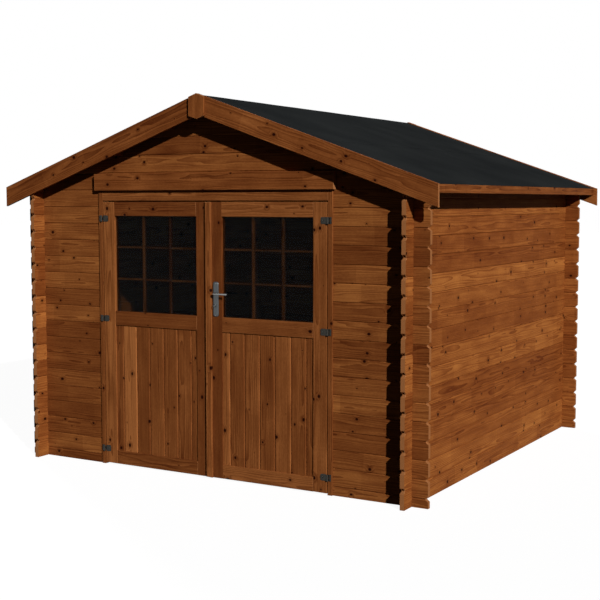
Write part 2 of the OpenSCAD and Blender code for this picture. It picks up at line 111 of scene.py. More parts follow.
def carry(outline, run, low, high, place, inset=0.0, slant=0.0, lean=0.0,
          tree=None, tone=None, upright=False):
    """A closed outline of (across, depth) points carried along a straight run.
    Point = origin + (run + slant across + lean depth) A + across B + depth C, with
    across clipped between low + inset and high - inset, which change along the run.
    The end stations draw back by inset, so that all edges are chamfered."""
    origin, a, b, c = (np.asarray(v, float) for v in place)
    run = np.asarray(run, float)[:, None]
    count = len(run), len(outline)
    low, high, slant = (np.broadcast_to(np.asarray(v, float).reshape(-1, 1), (count[0], 1))
                        for v in (low, high, slant))
    across = np.clip(np.broadcast_to(outline[:, 0], count), low + inset, high - inset)
    depth = np.broadcast_to(outline[:, 1], count)
    run = run + slant * across + lean * depth
    run[0] += inset
    run[-1] -= inset
    points = origin + run[..., None] * a + across[..., None] * b + depth[..., None] * c
    points, quads, caps = join(points)
    normal = np.cross(points[quads[:, 2]] - points[quads[:, 0]],
                      points[quads[:, 3]] - points[quads[:, 1]])
    normal /= np.linalg.norm(normal, axis=1, keepdims=True) + 1e-12
    end = np.concatenate([np.abs(normal @ (b if upright else a)) > 0.45,
                          [not upright] * 2]).astype(float)

    tree = tree_place(np.ptp(across), np.ptp(depth)) if tree is None else tree
    grain = np.stack([across, run, depth] if upright else [run, across, depth], -1)
    grain = grain.reshape(-1, 3) + tree
    tone = rng.uniform() if tone is None else tone
    return dict(points=points, faces=quads.tolist() + caps.tolist(), grain=grain,
                tone=np.full(len(points), tone), end=end)


def ceiling(x):
    """Height of the roof boards' underside over the front and back walls, and of
    the pockets' floors where the ridge beam and the purlins lie in a wall."""
    height = RIDGE_Z - np.abs(x) * SLOPE
    for middle in (-PURLIN_X, 0.0, PURLIN_X):
        floor = RIDGE_Z - abs(middle) * SLOPE - PURLIN_H
        inside = np.abs(x - middle) < PURLIN_W / 2 + POCKET_PLAY
        height = np.where(inside, np.minimum(height, floor), height)
    return height


def log(place, start, stop, crossings, height=LOG_H, first=False, last=False,
        cuts=(END_CUT, END_CUT), half=False, gable=False):
    """One log, as shells. Between its ends the section is clipped to a band whose
    edges are low(run) and high(run): they close in at 45 degrees over an end cut,
    jump to the middle half at a crossing, and stay under the ceiling in a gable."""
    top = height + (LOG_T * SLOPE if last else TONGUE_H)
    marks = []
    for end, way, cut in ((start, 1, cuts[0]), (stop, -1, cuts[1])):
        if cut:
            marks += [(end, 0 if first else cut, top if last else height - cut),
                      (end + way * cut, 0, top if last else height),
                      (end + way * (cut + TONGUE_H), 0, top)]
        else:
            marks += [(end, 0, top)]
    keep = (0, LOG_H / 4) if half else (LOG_H / 4, LOG_H * 3 / 4)
    for x in crossings:
        for way in (-1, 1):
            edge = x + way * (LOG_T / 2 + NOTCH_PLAY)
            marks += [(edge, *keep), (edge + way * STEP, 0, top)]
    marks = np.array(sorted(marks))
    run = marks[:, 0]
    if gable:
        edges = [m + w * (PURLIN_W / 2 + POCKET_PLAY + e) for m in (-PURLIN_X, 0, PURLIN_X)
                 for w in (-1, 1) for e in (-STEP, STEP)]
        run = np.unique(np.concatenate([run, np.arange(start, stop, 0.02)[1:], edges]))
        run = run[(run >= start) & (run <= stop)]
    low, high = (np.interp(run, marks[:, 0], marks[:, i]) for i in (1, 2))
    if gable:
        high = np.minimum(high, ceiling(run) - place[0][2])
    shift = np.array(place[3]) * rng.uniform(0, 0.0006)
    place = (np.array(place[0]) + shift, *place[1:])
    tree, tone = tree_place(height, LOG_T), rng.uniform()
    solid = high - low > 0.001
    parts = np.split(np.arange(len(run)), np.flatnonzero(np.diff(solid)) + 1)
    return [carry(section_of_log(height, first, last), run[p], low[p], high[p], place,
                  tree=tree, tone=tone)
            for p in parts if solid[p[0]] and len(p) > 1]


def linear(code, alpha=1.0):
    """sRGB hex colour as linear RGBA."""
    c = np.array([int(code[i:i + 2], 16) / 255 for i in (1, 3, 5)])
    return (*np.where(c <= 0.04045, c / 12.92, ((c + 0.055) / 1.055) ** 2.4), alpha)


def add(tree, kind, inputs=None, **settings):
    """Adds one node with its settings, and sets or links its inputs."""
    made = tree.nodes.new(kind)
    for name, value in settings.items():
        setattr(made, name, value)
    for name, value in (inputs or {}).items():
        if isinstance(value, bpy.types.Node):
            value = value.outputs[0]
        if isinstance(value, bpy.types.NodeSocket):
            tree.links.new(value, made.inputs[name])
        else:
            made.inputs[name].default_value = value
    return made


def blank(name):
    """A new material with an empty node tree."""
    made = bpy.data.materials.new(name)
    made.use_nodes = True
    made.node_tree.nodes.clear()
    return made, made.node_tree


def grained(tree, place, scale, detail, **more):
    """Noise over a place that is scaled along and across the grain."""
    place = add(tree, "ShaderNodeVectorMath", {0: place, 1: scale}, operation="MULTIPLY")
    return add(tree, "ShaderNodeTexNoise", {"Vector": place, "Scale": 1.0,
                                            "Detail": detail, **more})


def timber(name, dark, middle, light, knot, end_grain, knots=0.56, rough=0.58,
           contrast=1.0, jointed=0.16, boards=0.34):
    """Sawn softwood on the coordinates of its tree, in metres: along the trunk,
    and across and away from the pith. Year rings are circles round the pith that
    wander along the trunk and bend round knots, and a stain lies over them."""
    material, t = blank(name)
    place = add(t, "ShaderNodeAttribute", attribute_name="grain").outputs["Vector"]
    tone = add(t, "ShaderNodeAttribute", attribute_name="tone").outputs["Fac"]
    end = add(t, "ShaderNodeAttribute", attribute_name="end").outputs["Fac"]
    axes = add(t, "ShaderNodeSeparateXYZ", {0: place})

    # Knots: one may lie in each patch of 260 x 80 mm, 2 to 25 mm wide. Distances
    # along the trunk count 0.8 times, so a knot is a little longer than wide.
    patch_l, patch_w, ring_w, finger_l = 0.26, 0.08, 0.007, 0.42
    patch = add(t, "ShaderNodeVectorMath", {0: place, 1: (1 / patch_l, 1 / patch_w, 0)},
                operation="MULTIPLY")
    cell = add(t, "ShaderNodeTexVoronoi", {"Vector": patch, "Scale": 1.0, "Randomness": 0.9},
               voronoi_dimensions="2D")
    off = add(t, "ShaderNodeVectorMath", {0: patch, 1: cell.outputs["Position"]},
              operation="SUBTRACT")
    off = add(t, "ShaderNodeVectorMath", {0: off, 1: (patch_l * 0.8, patch_w, 0)},
              operation="MULTIPLY")
    off = add(t, "ShaderNodeVectorMath", {0: off}, operation="LENGTH").outputs["Value"]
    pick = add(t, "ShaderNodeSeparateColor", {0: cell.outputs["Color"]})
    radius = add(t, "ShaderNodeMapRange", {0: pick.outputs[0], 1: 1 - knots, 2: 1.0,
                                           3: 0.001, 4: 0.0125})
    reach = add(t, "ShaderNodeMath", {0: off, 1: radius}, operation="DIVIDE")
    core = add(t, "ShaderNodeMapRange", {0: reach, 1: 0.55, 2: 1.05, 3: 1.0, 4: 0.0},
               interpolation_type="SMOOTHSTEP")
    halo = add(t, "ShaderNodeMapRange", {0: reach, 1: 0.9, 2: 3.0, 3: 1.0, 4: 0.0},
               interpolation_type="SMOOTHSTEP")

    # Year rings, 7 mm apart, with dark late wood at the outside of each.
    slow = grained(t, place, (1.5, 11, 11), 2.0, Roughness=0.55)
    round_pith = add(t, "ShaderNodeVectorMath", {0: place, 1: (0, 1, 1)}, operation="MULTIPLY")
    pith = add(t, "ShaderNodeVectorMath", {0: round_pith}, operation="LENGTH").outputs["Value"]
    pith = add(t, "ShaderNodeMath", {0: slow, 1: 0.034, 2: pith}, operation="MULTIPLY_ADD")
    pith = add(t, "ShaderNodeMath", {0: halo, 1: 0.006, 2: pith}, operation="MULTIPLY_ADD")
    ring = add(t, "ShaderNodeMath", {0: pith, 1: 1 / ring_w}, operation="MULTIPLY")
    ring = add(t, "ShaderNodeMath", {0: ring}, operation="FRACT")
    late = add(t, "ShaderNodeMath", {0: ring, 1: 2.4}, operation="POWER")

    # Streaks a few mm wide, fibres under 1 mm drawn 2 mm wide so that they show,
    # soft patches and small flecks where the stain took better, and finger-jointed
    # lengths.
    streak = grained(t, place, (1.8, 60, 60), 3.0, Roughness=0.6)
    fibre = grained(t, place, (7, 480, 480), 2.0)
    patchy = grained(t, place, (4.2, 14, 14), 1.0)
    fleck = grained(t, place, (55, 150, 150), 1.0)
    length = add(t, "ShaderNodeMath", {0: axes.outputs[0], 1: 1 / finger_l}, operation="MULTIPLY")
    joint = add(t, "ShaderNodeTexVoronoi", {"W": length, "Scale": 1.0},
                voronoi_dimensions="1D")
    joint = add(t, "ShaderNodeSeparateColor", {0: joint.outputs["Color"]})

    # The shade is a weighted sum whose start puts its mean at one half. Each source
    # has a mean of 0.5, apart from the late wood's 0.3.
    weights = ((joint.outputs[0], jointed), (patchy, 0.44), (streak, 0.52),
               (late, -0.40), (fibre, 0.12), (fleck, 0.26))
    mean = boards / 2 + sum(w * (0.3 if source is late else 0.5) for source, w in weights)
    shade = add(t, "ShaderNodeMath", {0: tone, 1: boards * contrast, 2: 0.5 - mean * contrast},
                operation="MULTIPLY_ADD")
    for source, weight in weights:
        shade = add(t, "ShaderNodeMath", {0: source, 1: weight * contrast, 2: shade},
                    operation="MULTIPLY_ADD")
    stain = add(t, "ShaderNodeValToRGB", {0: shade})
    ramp = stain.color_ramp
    ramp.elements[0].position, ramp.elements[0].color = 0.05, linear(dark)
    ramp.elements[1].position, ramp.elements[1].color = 0.95, linear(light)
    ramp.elements.new(0.5).color = linear(middle)

    # Short dark resin strokes, and the knots with their reddish rims.
    stroke = grained(t, place, (13, 170, 170), 1.0)
    stroke = add(t, "ShaderNodeMapRange", {0: stroke, 1: 0.70, 2: 0.78, 3: 0.0, 4: 0.55})
    rim = add(t, "ShaderNodeMath", {0: halo, 1: 0.42}, operation="MULTIPLY")
    spots = add(t, "ShaderNodeMath", {0: rim, 1: stroke}, operation="MAXIMUM")
    stain = add(t, "ShaderNodeMix", {"Factor": spots, 6: stain.outputs[0], 7: linear(dark)},
                data_type="RGBA")
    stain = add(t, "ShaderNodeMix", {"Factor": core, 6: stain.outputs[2], 7: linear(knot)},
                data_type="RGBA")
    sawn = add(t, "ShaderNodeMath", {0: late, 1: -0.45, 2: 1.12}, operation="MULTIPLY_ADD")
    sawn = add(t, "ShaderNodeVectorMath", {0: linear(end_grain)[:3], "Scale": sawn},
               operation="SCALE")
    stain = add(t, "ShaderNodeMix", {"Factor": end, 6: stain.outputs[2], 7: sawn},
                data_type="RGBA")

    relief = add(t, "ShaderNodeMath", {0: late, 1: 0.5, 2: fibre}, operation="MULTIPLY_ADD")
    relief = add(t, "ShaderNodeMath", {0: core, 1: -0.6, 2: relief}, operation="MULTIPLY_ADD")
    bump = add(t, "ShaderNodeBump", {"Strength": 0.35, "Distance": 0.0008, "Height": relief})
    shine = add(t, "ShaderNodeMath", {0: fibre, 1: 0.16, 2: rough - 0.08},
                operation="MULTIPLY_ADD")
    surface = add(t, "ShaderNodeBsdfPrincipled",
                  {"Base Color": stain.outputs[2], "Roughness": shine, "Normal": bump,
                   "Specular IOR Level": 0.008})
    add(t, "ShaderNodeOutputMaterial", {0: surface})
    return material


def build(name, shells, material, body, nodes):
    """One piece out of its shells. Points carry their place in the tree and the
    board's own tone, and a face says whether it is end grain."""
    mesh = bpy.data.meshes.new(name)
    first = np.cumsum([0] + [len(s["points"]) for s in shells])
    faces = [[v + at for v in face] for s, at in zip(shells, first) for face in s["faces"]]
    mesh.from_pydata(np.concatenate([s["points"] for s in shells]).tolist(), [], faces)
    for key, kind, domain, field in (("grain", "FLOAT_VECTOR", "POINT", "vector"),
                                     ("tone", "FLOAT", "POINT", "value"),
                                     ("end", "FLOAT", "FACE", "value")):
        values = np.concatenate([s[key] for s in shells]).astype(np.float32)
        mesh.attributes.new(key, kind, domain).data.foreach_set(field, values.ravel())
    mesh.materials.append(material)
    piece = bpy.data.objects.new(name, mesh)
    bpy.context.scene.collection.objects.link(piece)
    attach(piece, body)
    if nodes:
        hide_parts(*nodes)
    return piece


# Pine under a brown impregnating stain: the pores take it unevenly, so boards
# and patches differ, knots turn almost black, and sawn ends stay more yellow.
stained_logs = timber("pine_brown_stain_logs", "#602d11", "#874b22", "#b26f36", "#260c05",
                      "#98623a")
# The same pine again, made about a fifth darker for the front walls and the gable. This is
# painted shade: the front faces get more shade than the low sun from the side gives them.
front_stain_painted_shade = timber("pine_brown_stain_front_painted_shade", "#572910", "#7b4520", "#a46633", "#240b05",
                       "#98623a")

CORNER = WALL - LOG_T / 2                        # middle of a crossing wall
for side, name in ((-1, "left"), (1, "right")):
    axes = (0, 1, 0), (0, 0, 1), (-side, 0, 0)
    logs = []
    for k in range(COURSES):
        logs += log(((side * WALL, 0, k * LOG_H), *axes), -LOG_TIP, LOG_TIP,
                    (-CORNER, CORNER), first=k == 0)
    logs += log(((side * WALL, 0, COURSES * LOG_H), *axes), -LOG_TIP, LOG_TIP,
                (-CORNER, CORNER), height=TOP_LOG_H, last=True)
    build("logs_side_" + name, logs, stained_logs, "house", ["side_wall_" + name])

    axes = (side, 0, 0), (0, 0, 1), (0, 1, 0)
    logs = log(((0, -WALL, 0), *axes), DOORWAY, LOG_TIP, (CORNER,), height=LOG_H / 2,
               first=True, cuts=(0, END_CUT), half=True)
    for k in range(COURSES):
        logs += log(((0, -WALL, (k + 0.5) * LOG_H), *axes), DOORWAY, LOG_TIP, (CORNER,),
                    cuts=(0, END_CUT))
    build("logs_front_" + name, logs, front_stain_painted_shade, "house", ["front_wall_" + name])

axes = (1, 0, 0), (0, 0, 1), (0, 1, 0)
logs = []
for k in range(5):
    logs += log(((0, -WALL, GABLE_Z + k * LOG_H), *axes), -LOG_TIP, LOG_TIP,
                (-CORNER, CORNER) if k == 0 else (), gable=True)
build("logs_gable", logs, front_stain_painted_shade, "house", ["front_gable"])

axes = (1, 0, 0), (0, 0, 1), (0, -1, 0)
logs = log(((0, WALL, 0), *axes), -LOG_TIP, LOG_TIP, (-CORNER, CORNER), height=LOG_H / 2,
           first=True, half=True)
for k in range(COURSES + 5):
    logs += log(((0, WALL, (k + 0.5) * LOG_H), *axes), -LOG_TIP, LOG_TIP,
                (-CORNER, CORNER) if k <= COURSES else (), gable=k >= COURSES)
build("logs_back", logs, stained_logs, "house", ["back_wall"])

# ---------------------------------------------------------------- roof timber
# A ridge beam and two purlins lie in pockets of the gables. Tongued and grooved
# boards, 97 mm wide and 15 mm thick, are nailed across them from ridge to eaves.
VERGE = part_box("ridge_beam")[1].y                # ends of all roof timber
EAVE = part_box("eaves_board_right")[1].x          # outer face of the eaves boards
EAVES_T, EAVES_H = 0.020, 0.051
BOARD_T, LAY = 0.015, 0.0001
FREE = 9.0                                       # further across than any board: no clipping
RISE = 1 / np.cos(np.arctan(SLOPE))              # upright height of a sloping mm
DOWN = np.array([1, 0, -SLOPE]) / RISE           # down the right slope
AWAY = np.array([SLOPE, 0, 1]) / RISE            # away from it


def slab(depth, chamfer):
    """Outline of a plain board, wider than any board so that the width comes
    from clipping, and how far each of its points draws back for the chamfers."""
    lo, hi, c, t = -FREE, FREE, chamfer, depth
    outline = [(lo, c), (lo, 0), (hi, 0), (hi, c), (hi, t - c), (hi, t), (lo, t), (lo, t - c)]
    return np.array(outline), np.array([0, c, c, 0, 0, c, c, 0])


def board(origin, along, across, deep, size, chamfer=0.002, **more):
    """A board of size (length, width, thickness) from its corner, with all of its
    edges chamfered on both faces."""
    outline, inset = slab(size[2], chamfer)
    return carry(outline, (0, size[0]), 0, size[1], (origin, along, across, deep),
                 inset=inset, **more)


def mirrored(point, side):
    """The same point on the left (-1) or right (1) half."""
    return np.array(point, float) * (side, 1, 1)


stained_roof = timber("spruce_brown_stain_roof", "#4f2610", "#74401e", "#9a5d30", "#241009",
                      "#a2683a")
X, Y, Z = np.eye(3)
for side, name in ((-1, "left"), (1, "right")):
    x = PURLIN_X - PURLIN_W / 2
    foot = RIDGE_Z - PURLIN_X * SLOPE - PURLIN_H
    outline = np.array([(0, 0), (PURLIN_W, 0), (PURLIN_W, PURLIN_H - PURLIN_W / 2 * SLOPE),
                        (0, PURLIN_H + PURLIN_W / 2 * SLOPE)])
    beam = carry(outline, (-VERGE, VERGE), -FREE, FREE,
                 (mirrored((x, 0, foot), side), Y, mirrored(X, side), Z))
    build("purlin_beam_" + name, [beam], stained_roof, "house", ["purlin_" + name])

    count, gap, v = 32, 0.0002, 0.003            # v: V joint on the underside
    width = 2 * VERGE / count
    length = (EAVE - EAVES_T) * RISE
    outline = np.array([(gap, v), (v, 0), (width - v, 0), (width - gap, v),
                        (width - gap, BOARD_T), (gap, BOARD_T)])
    boards = [carry(outline, (0, length), -FREE, FREE,
                    (mirrored((0, -VERGE + i * width, RIDGE_Z), side) + Z * LAY * RISE,
                     mirrored(DOWN, side), Y, mirrored(AWAY, side)), lean=-SLOPE)
              for i in range(count)]
    build("boards_roof_" + name, boards, stained_roof, "house", ["roof_boards_" + name])

side_drop = PURLIN_W / 2 * SLOPE
outline = np.array([(-PURLIN_W / 2, 0), (PURLIN_W / 2, 0), (PURLIN_W / 2, PURLIN_H - side_drop),
                    (0, PURLIN_H), (-PURLIN_W / 2, PURLIN_H - side_drop)])
beam = carry(outline, (-VERGE, VERGE), -FREE, FREE, ((0, 0, RIDGE_Z - PURLIN_H), Y, X, Z))
build("ridge_beam_planed", [beam], stained_roof, "house", ["ridge_beam"])

# ---------------------------------------------------------------- roofing felt
# Bitumen felt, 3 mm thick, with a coat of dark slate grit. It is rolled out along
# the house in two strips for each slope, and the upper one laps the lower one.
FELT_T, FELT_BASE = 0.003, BOARD_T + 2 * LAY
LAP_X, LAP = 0.8645, 0.0849


def strip(side, x0, x1, lift, phase):
    """A felt strip between x0 and x1 as a closed shell over a grid of (down, along).
    It lies on the boards plus lift(down), and its top waves by up to 0.5 mm: wave =
    0.25 mm (sin 5.1y' sin 9d' + sin(13 y + 7 d)), where ' adds the phase. The wave
    fades out within 0.1 m of the verges."""
    down, along = np.linspace(x0, x1, 40), np.linspace(-VERGE, VERGE, 90)
    d, y = np.meshgrid(down, along, indexing="ij")
    wave = 0.00025 * (np.sin(5.1 * y + phase) * np.sin(9 * d + phase) + np.sin(13 * y + 7 * d))
    fade = np.clip((VERGE - np.abs(y)) / 0.1, 0, 1)
    shells = []
    for top in (0, 1):
        height = FELT_BASE + lift(d) + top * (FELT_T - 0.0002 + wave * fade)
        z = RIDGE_Z - d * SLOPE + height * RISE
        shells.append(np.stack([side * d, y, z], -1).reshape(-1, 3))
    n, m = d.shape
    index = np.arange(n * m).reshape(n, m)
    quads = np.stack([index[:-1, :-1], index[1:, :-1], index[1:, 1:], index[:-1, 1:]], -1)
    quads = quads.reshape(-1, 4)
    rim = np.concatenate([index[:-1, 0], index[-1, :-1], index[:0:-1, -1], index[0, :0:-1]])
    wall = np.stack([rim, np.roll(rim, -1), np.roll(rim, -1) + n * m, rim + n * m], -1)
    faces = np.concatenate([quads[:, ::-1], quads + n * m, wall])
    if side < 0:
        faces = faces[:, ::-1]
    points = np.concatenate(shells)
    ends = np.zeros(len(faces))
    return dict(points=points, faces=faces.tolist(), grain=points, end=ends,
                tone=np.full(len(points), phase))


felt, t = blank("bitumen_felt_slate_grit")
spot = add(t, "ShaderNodeTexCoord").outputs["Object"]
# Slate grit of 1 to 2 mm, drawn 4 mm wide so that it shows, over wide faint
# patches from rolling and weather.
grit = add(t, "ShaderNodeTexNoise", {"Vector": spot, "Scale": 250.0, "Detail": 2.0})
weather = add(t, "ShaderNodeTexNoise", {"Vector": spot, "Scale": 2.2, "Detail": 4.0})
shade = add(t, "ShaderNodeMath", {0: weather, 1: 0.6, 2: -0.02}, operation="MULTIPLY_ADD")
shade = add(t, "ShaderNodeMath", {0: grit, 1: 0.45, 2: shade}, operation="MULTIPLY_ADD")
colour = add(t, "ShaderNodeValToRGB", {0: shade})
for stop, at, code in zip(colour.color_ramp.elements, (0.25, 0.80), ("#1d1f20", "#2f3131")):
    stop.position, stop.color = at, linear(code)
bump = add(t, "ShaderNodeBump", {"Strength": 0.5, "Distance": 0.001, "Height": grit})
surface = add(t, "ShaderNodeBsdfPrincipled", {"Base Color": colour, "Roughness": 0.92,
                                              "Specular IOR Level": 0.0, "Normal": bump})
add(t, "ShaderNodeOutputMaterial", {0: surface})

for side, name in ((-1, "left"), (1, "right")):
    lower = strip(side, LAP_X - LAP, EAVE, lambda d: 0 * d, 1.0 + side)
    # Over the lap the upper strip climbs by one thickness within 20 mm.
    upper = strip(side, 0.0, LAP_X,
                  lambda d: FELT_T * np.clip((d - LAP_X + LAP + 0.02) / 0.02, 0, 1), 3.0 + side)
    build("felt_" + name, [lower, upper], felt, "house", ["roof_felt_" + name])

# ---------------------------------------------------------------- barge boards
# Planed boards, 126 x 19 mm, nailed to the ends of the purlins along the verges.
# Their plumb-cut ends meet at the ridge under a plate with a shallow point, and
# narrower boards close the eaves.
BARGE_W, BARGE_T = 0.126, 0.019
BARGE_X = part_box("barge_front_right")[1].x      # plumb-cut lower ends
BARGE_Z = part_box("barge_front_right")[1].z       # top of the boards at the ridge
stained_trim = timber("pine_brown_stain_trim", "#582a10", "#804822", "#a86736", "#240b05",
                      "#98623a", contrast=1.1)
for end, place_name in ((-1, "front"), (1, "back")):
    for side, name in ((-1, "left"), (1, "right")):
        origin = np.array([0, end * VERGE, BARGE_Z]) - Z * BARGE_W * RISE
        plank = board(origin, mirrored(DOWN, side), mirrored(AWAY, side), (0, end, 0),
                      (BARGE_X * RISE, BARGE_W, BARGE_T), 0.0015, slant=-SLOPE)
        build(f"barge_board_{place_name}_{name}", [plank], stained_trim, "house",
              [f"barge_{place_name}_{name}"])
    low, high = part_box("apex_plate_" + place_name)
    outline, inset = slab(high.y - low.y, 0.0025)
    run = np.array([low.x, 0.0, high.x])
    drop = np.abs(run) * SLOPE
    plate = carry(outline, run, low.z + np.abs(run) * 0.020 / high.x, high.z - drop,
                  ((0, end * (VERGE + BARGE_T), 0), X, Z, (0, end, 0)), inset=inset,
                  upright=True, tone=0.35)
    build("apex_plate_planed_" + place_name, [plate], stained_trim, "house",
          ["apex_plate_" + place_name])
for side, name in ((-1, "left"), (1, "right")):
    low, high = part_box("eaves_board_" + name)
    foot = (side * EAVE, low.y, low.z)
    plank = board(foot, Y, Z, (-side, 0, 0), (high.y - low.y, EAVES_H, EAVES_T))
    build("eaves_board_planed_" + name, [plank], stained_trim, "house",
          ["eaves_board_" + name])

# ---------------------------------------------------------------- floor
# Bearers on the ground carry planed spruce boards, tongued and grooved, that are
# left unstained.
floor_spruce = timber("spruce_planed_floor", "#8d6a42", "#b08a5a", "#c9a775", "#5d3a20",
                      "#c0a070", contrast=0.8)
low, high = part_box("floor_boards")
count, gap, v, deep = 28, 0.0003, 0.002, 0.018   # v: V joint on the upper side
width = (high.x - low.x) / count
outline = np.array([(gap, 0), (width - gap, 0), (width - gap, deep - v),
                    (width - gap - v, deep), (gap + v, deep), (gap, deep - v)])
boards = [carry(outline, (low.y, high.y), -FREE, FREE, ((low.x + i * width, 0, low.z), Y, X, Z))
          for i in range(count)]
build("floor_planks", boards, floor_spruce, "house", ["floor_boards"])
low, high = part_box("floor_bearers")
width = 0.060
bearers = [board((low.x, y, low.z), X, Y, Z, (high.x - low.x, width, high.z - low.z))
           for y in np.linspace(low.y, high.y - width, 5)]
build("floor_battens", bearers, floor_spruce, "house", ["floor_bearers"])

# ---------------------------------------------------------------- door frame
# Jambs clasp the cut ends of the logs and have a rebate for the leaves. A head
# and a sill join them, and a stout board over the door hides the settling gap.
stained_door = timber("pine_brown_stain_door", "#552810", "#7a4521", "#a46536", "#220a05",
                      "#98623a", contrast=1.0, jointed=0.08, boards=0.52)
low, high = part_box("door_jamb_right")
head_low, head_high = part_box("door_frame_head")
FACE_Y, BACK_Y = low.y, high.y                   # front and back of the frame
REBATE_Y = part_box("door_sill")[0].y
CLEAR = head_high.x                              # half of the clear width
ARRIS = 0.0015                                   # chamfer of the frame and the leaves
HEAD_FACE, HEAD_LIP = 0.067, 0.020               # head in front, and the lip of a jamb
CLASP = 0.018                                    # depth of the slot for the log ends
c = ARRIS
clasp_x = high.x - CLASP
slot = -WALL - NOTCH_PLAY, -WALL + LOG_T + NOTCH_PLAY
outline = np.array([(CLEAR, FACE_Y + c), (CLEAR + c, FACE_Y), (high.x - c, FACE_Y),
                    (high.x, FACE_Y + c), (high.x, slot[0]), (clasp_x, slot[0]),
                    (clasp_x, slot[1]), (high.x, slot[1]), (high.x, BACK_Y),
                    (low.x, BACK_Y), (low.x, REBATE_Y), (CLEAR, REBATE_Y)])
for side, name in ((-1, "left"), (1, "right")):
    post = carry(outline, (low.z, high.z), -FREE, FREE, ((0, 0, 0), Z, mirrored(X, side), Y))
    build("jamb_planed_" + name, [post], stained_door, "house", ["door_jamb_" + name])
width = 2 * CLEAR
rails = [board((-CLEAR, FACE_Y, head_high.z - HEAD_FACE), X, Z, Y,
               (width, HEAD_FACE, REBATE_Y - FACE_Y), c),
         board((-CLEAR + HEAD_LIP, REBATE_Y, head_low.z), X, Z, Y,
               (width - 2 * HEAD_LIP, head_high.z - head_low.z, BACK_Y - REBATE_Y), c)]
build("head_planed", rails, stained_door, "house", ["door_frame_head"])
low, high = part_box("door_sill")
build("sill_planed", [board(low, X, Y, Z, tuple(high - low), 0.003)], stained_door, "house",
      ["door_sill"])
low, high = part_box("door_header")
plank = board(low, X, Z, Y, (high.x - low.x, high.z - low.z, high.y - low.y), 0.003)
build("header_planed", [plank], stained_trim, "house", ["door_header"])

# ---------------------------------------------------------------- door leaves
# Each leaf has two stiles and three rails, 40 mm thick, with a glazed light above
# and upright tongued and grooved boards below, set 8 mm behind the face.
LEAF_T, SLACK = 0.040, 0.004                     # SLACK: bevel of the meeting edge
LIGHT_X, LIGHT_Z = (0.099, 0.773), (1.063, 1.708)
BAR_X, BAR_Z = (0.324, 0.544), (1.283, 1.498)    # middles of the glazing bars
BAR_W, BAR_H, BEAD_W = 0.022, 0.015, 0.009       # upright bar, level bar, bead
BAR_T, LEVEL_T = 0.014, 0.012
SEAMS = {"left": (0.150, 0.2627, 0.3763, 0.4925, 0.6026, 0.7148),
         "right": (0.153, 0.265, 0.379, 0.490, 0.610, 0.720)}
HOUSED = 0.010                                   # how far the boards reach into the frame
# How pale each panel board is, from the meeting edge outwards.
TONES = {"left": (0.35, 0.40, 0.45, 0.50, 0.25, 1.10, 0.30),
         "right": (0.75, 0.35, 0.50, 0.30, 0.55, 0.45, 0.35)}
for side, name in ((-1, "left"), (1, "right")):
    body = name + "_door"
    low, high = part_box(name + "_leaf_frame")
    edge = low.x if side > 0 else -high.x        # meeting edge, on the leaf's own side
    outer = high.x if side > 0 else -low.x
    foot, top = low.z, high.z
    right = mirrored(X, side)
    outline = np.array([(edge, c), (edge + c, 0), (LIGHT_X[0] - c, 0), (LIGHT_X[0], c),
                        (LIGHT_X[0], LEAF_T - c), (LIGHT_X[0] - c, LEAF_T),
                        (edge + SLACK + c, LEAF_T), (edge + SLACK, LEAF_T - c)])
    frame_parts = [carry(outline, (foot, top), -FREE, FREE, ((0, FACE_Y, 0), Z, right, Y)),
                   board((side * LIGHT_X[1], FACE_Y, foot), Z, right, Y,
                         (top - foot, outer - LIGHT_X[1], LEAF_T), c)]
    for z0, z1 in ((foot, 0.102), (0.967, LIGHT_Z[0]), (LIGHT_Z[1], top)):
        frame_parts.append(board((side * LIGHT_X[0], FACE_Y, z0), right, Z, Y,
                                 (LIGHT_X[1] - LIGHT_X[0], z1 - z0, LEAF_T), c))
    build(name + "_leaf_joinery", frame_parts, stained_door, body, [name + "_leaf_frame"])

    low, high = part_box(name + "_leaf_panel")
    seams = (LIGHT_X[0] - HOUSED, *SEAMS[name], LIGHT_X[1] + HOUSED)
    planks = []
    # V joints, v wide and dip deep on each face, with a gap to the tongue between.
    v, dip, gap, deep = 0.0070, 0.0048, 0.0014, high.y - low.y
    tongue_0, tongue_1, meet = dip + 0.0012, deep - dip - 0.0012, 0.0001
    for x0, x1, tone in zip(seams[:-1], seams[1:], TONES[name]):
        w = x1 - x0
        half = np.array([(w - v, 0), (w - gap, dip), (w - gap, tongue_0), (w - meet, tongue_0),
                         (w - meet, tongue_1), (w - gap, tongue_1), (w - gap, deep - dip),
                         (w - v, deep)])
        outline = np.concatenate([half, (w, 0) + half[::-1] * (-1, 1)])
        planks.append(carry(outline, (low.z, high.z), -FREE, FREE,
                            ((side * x0, low.y, 0), Z, right, Y), tone=tone))
    build(name + "_leaf_boards", planks, stained_door, body, [name + "_leaf_panel"])

    # Glazing bars lie on the inner face of the pane. The level ones stand between
    # the upright ones, and thin beads hold the pane at its sides.
    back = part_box(name + "_leaf_glass")[1].y
    tall = LIGHT_Z[1] - LIGHT_Z[0]
    bars = [board((side * (x - BAR_W / 2), back, LIGHT_Z[0]), Z, right, Y,
                  (tall, BAR_W, BAR_T)) for x in BAR_X]
    starts = LIGHT_X[0], *(x + BAR_W / 2 for x in BAR_X)
    stops = *(x - BAR_W / 2 for x in BAR_X), LIGHT_X[1]
    for z in BAR_Z:
        for x0, x1 in zip(starts, stops):
            bars.append(board((side * x0, back, z - BAR_H / 2), right, Z, Y,
                              (x1 - x0, BAR_H, LEVEL_T)))
    for x in (LIGHT_X[0], LIGHT_X[1] - BEAD_W):
        bars.append(board((side * x, back, LIGHT_Z[0]), Z, right, Y, (tall, BEAD_W, LEVEL_T)))
    build(name + "_glazing_bars", bars, stained_door, body, [])

low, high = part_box("cover_strip")
plank = board(low, Z, X, Y, (high.z - low.z, high.x - low.x, high.y - low.y), 0.003)
build("cover_strip_planed", [plank], stained_door, "right_door", ["cover_strip"])
